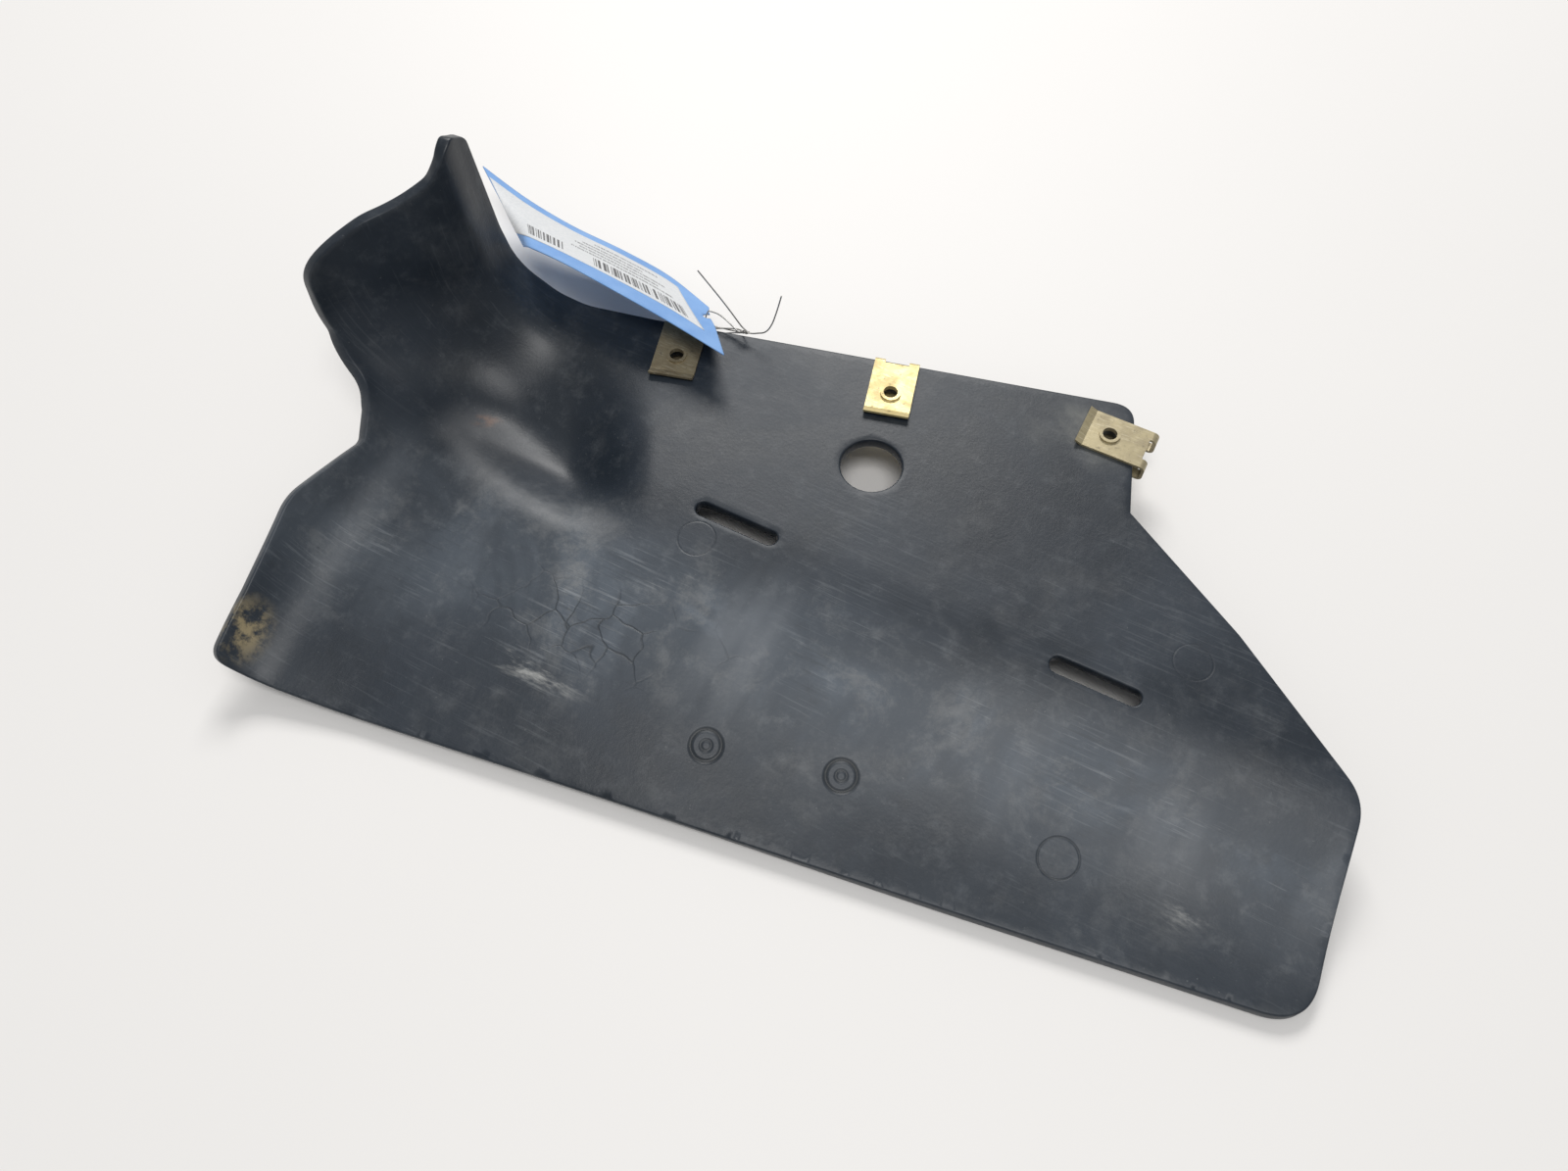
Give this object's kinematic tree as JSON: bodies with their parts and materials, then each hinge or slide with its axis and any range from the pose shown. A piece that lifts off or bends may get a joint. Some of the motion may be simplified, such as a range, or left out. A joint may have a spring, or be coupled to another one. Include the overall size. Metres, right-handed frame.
{
  "type": "mud flap",
  "caption": "Moulded rubber mud flap with a pass hole, mounting slots, slip-on spring-steel U-nuts on its edges and a wired-on stock tag.",
  "frame": {"origin": "centre of the round pass hole on the flap's top face", "axes": "+Z along the pass hole, out of the top face; +X along the line of the two slots, away from the raised wing; +Y towards the edge that carries the U-nuts"},
  "size_m": [0.3844, 0.2216, 0.0949],
  "materials": {
    "flap_rubber": "satin, scuffed",
    "zinc_steel": "yellow zinc plated, tarnished",
    "tag_card": "matte",
    "label_paper": "matte",
    "tie_wire": "dull"
  },
  "bodies": {
    "flap": {"flap_panel": "flap_rubber"},
    "clip_left": {"clip_left": "zinc_steel", "tag_wire": "tie_wire"},
    "clip_middle": {"clip_middle": "zinc_steel"},
    "clip_right": {"clip_right": "zinc_steel"},
    "tag": {"tag_card": "tag_card", "tag_label": "label_paper"}
  },
  "joints": [
    {"name": "clip_left_slide", "type": "slide", "parent": "flap", "child": "clip_left", "axis": [-0.2672, 0.9636, 0], "range_m": [0, 0.026]},
    {"name": "clip_middle_slide", "type": "slide", "parent": "flap", "child": "clip_middle", "axis": [-0.2504, 0.9681, 0], "range_m": [0, 0.026]},
    {"name": "clip_right_slide", "type": "slide", "parent": "flap", "child": "clip_right", "axis": [1, 0, 0], "range_m": [0, 0.026]},
    {"name": "tag_swing", "type": "hinge", "parent": "clip_left", "child": "tag", "pos_m": [-0.0765, 0.0301, 0.0007], "axis": [0.148, 0.989, 0], "range_deg": [0, 25]}
  ]
}
